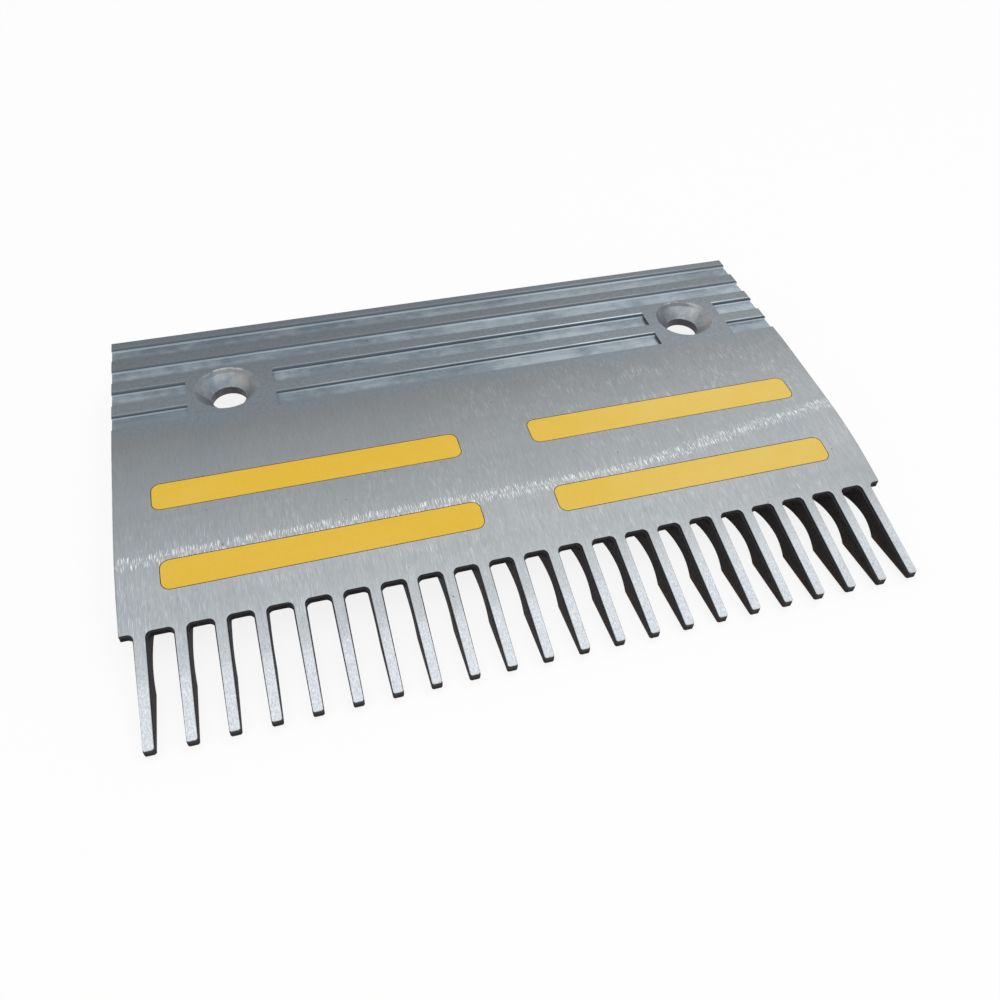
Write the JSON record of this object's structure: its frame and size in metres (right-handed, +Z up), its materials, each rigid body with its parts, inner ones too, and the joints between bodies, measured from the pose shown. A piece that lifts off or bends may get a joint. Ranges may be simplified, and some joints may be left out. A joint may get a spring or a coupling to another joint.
{
  "type": "escalator comb plate",
  "caption": "Cast aluminium escalator comb segment with blunt teeth, tread grooves, countersunk screw holes and yellow marking strips let into its top.",
  "frame": {"origin": "centre of the floor of the bounding box, under the middle of the plate", "axes": "+X along the row of teeth towards the viewer's right, -Y from the rear edge towards the tips of the teeth, +Z up, normal to the rear of the tread surface"},
  "size_m": [0.1994, 0.1304, 0.0156],
  "materials": {
    "cast_aluminium": "brushed along the teeth, die-cast skin on the sides and underside",
    "yellow_strip": "matte golden yellow resin"
  },
  "bodies": {
    "root": {"comb_body": "cast_aluminium", "strip_rear_left": "yellow_strip", "strip_rear_right": "yellow_strip", "strip_front_left": "yellow_strip", "strip_front_right": "yellow_strip"}
  },
  "joints": []
}
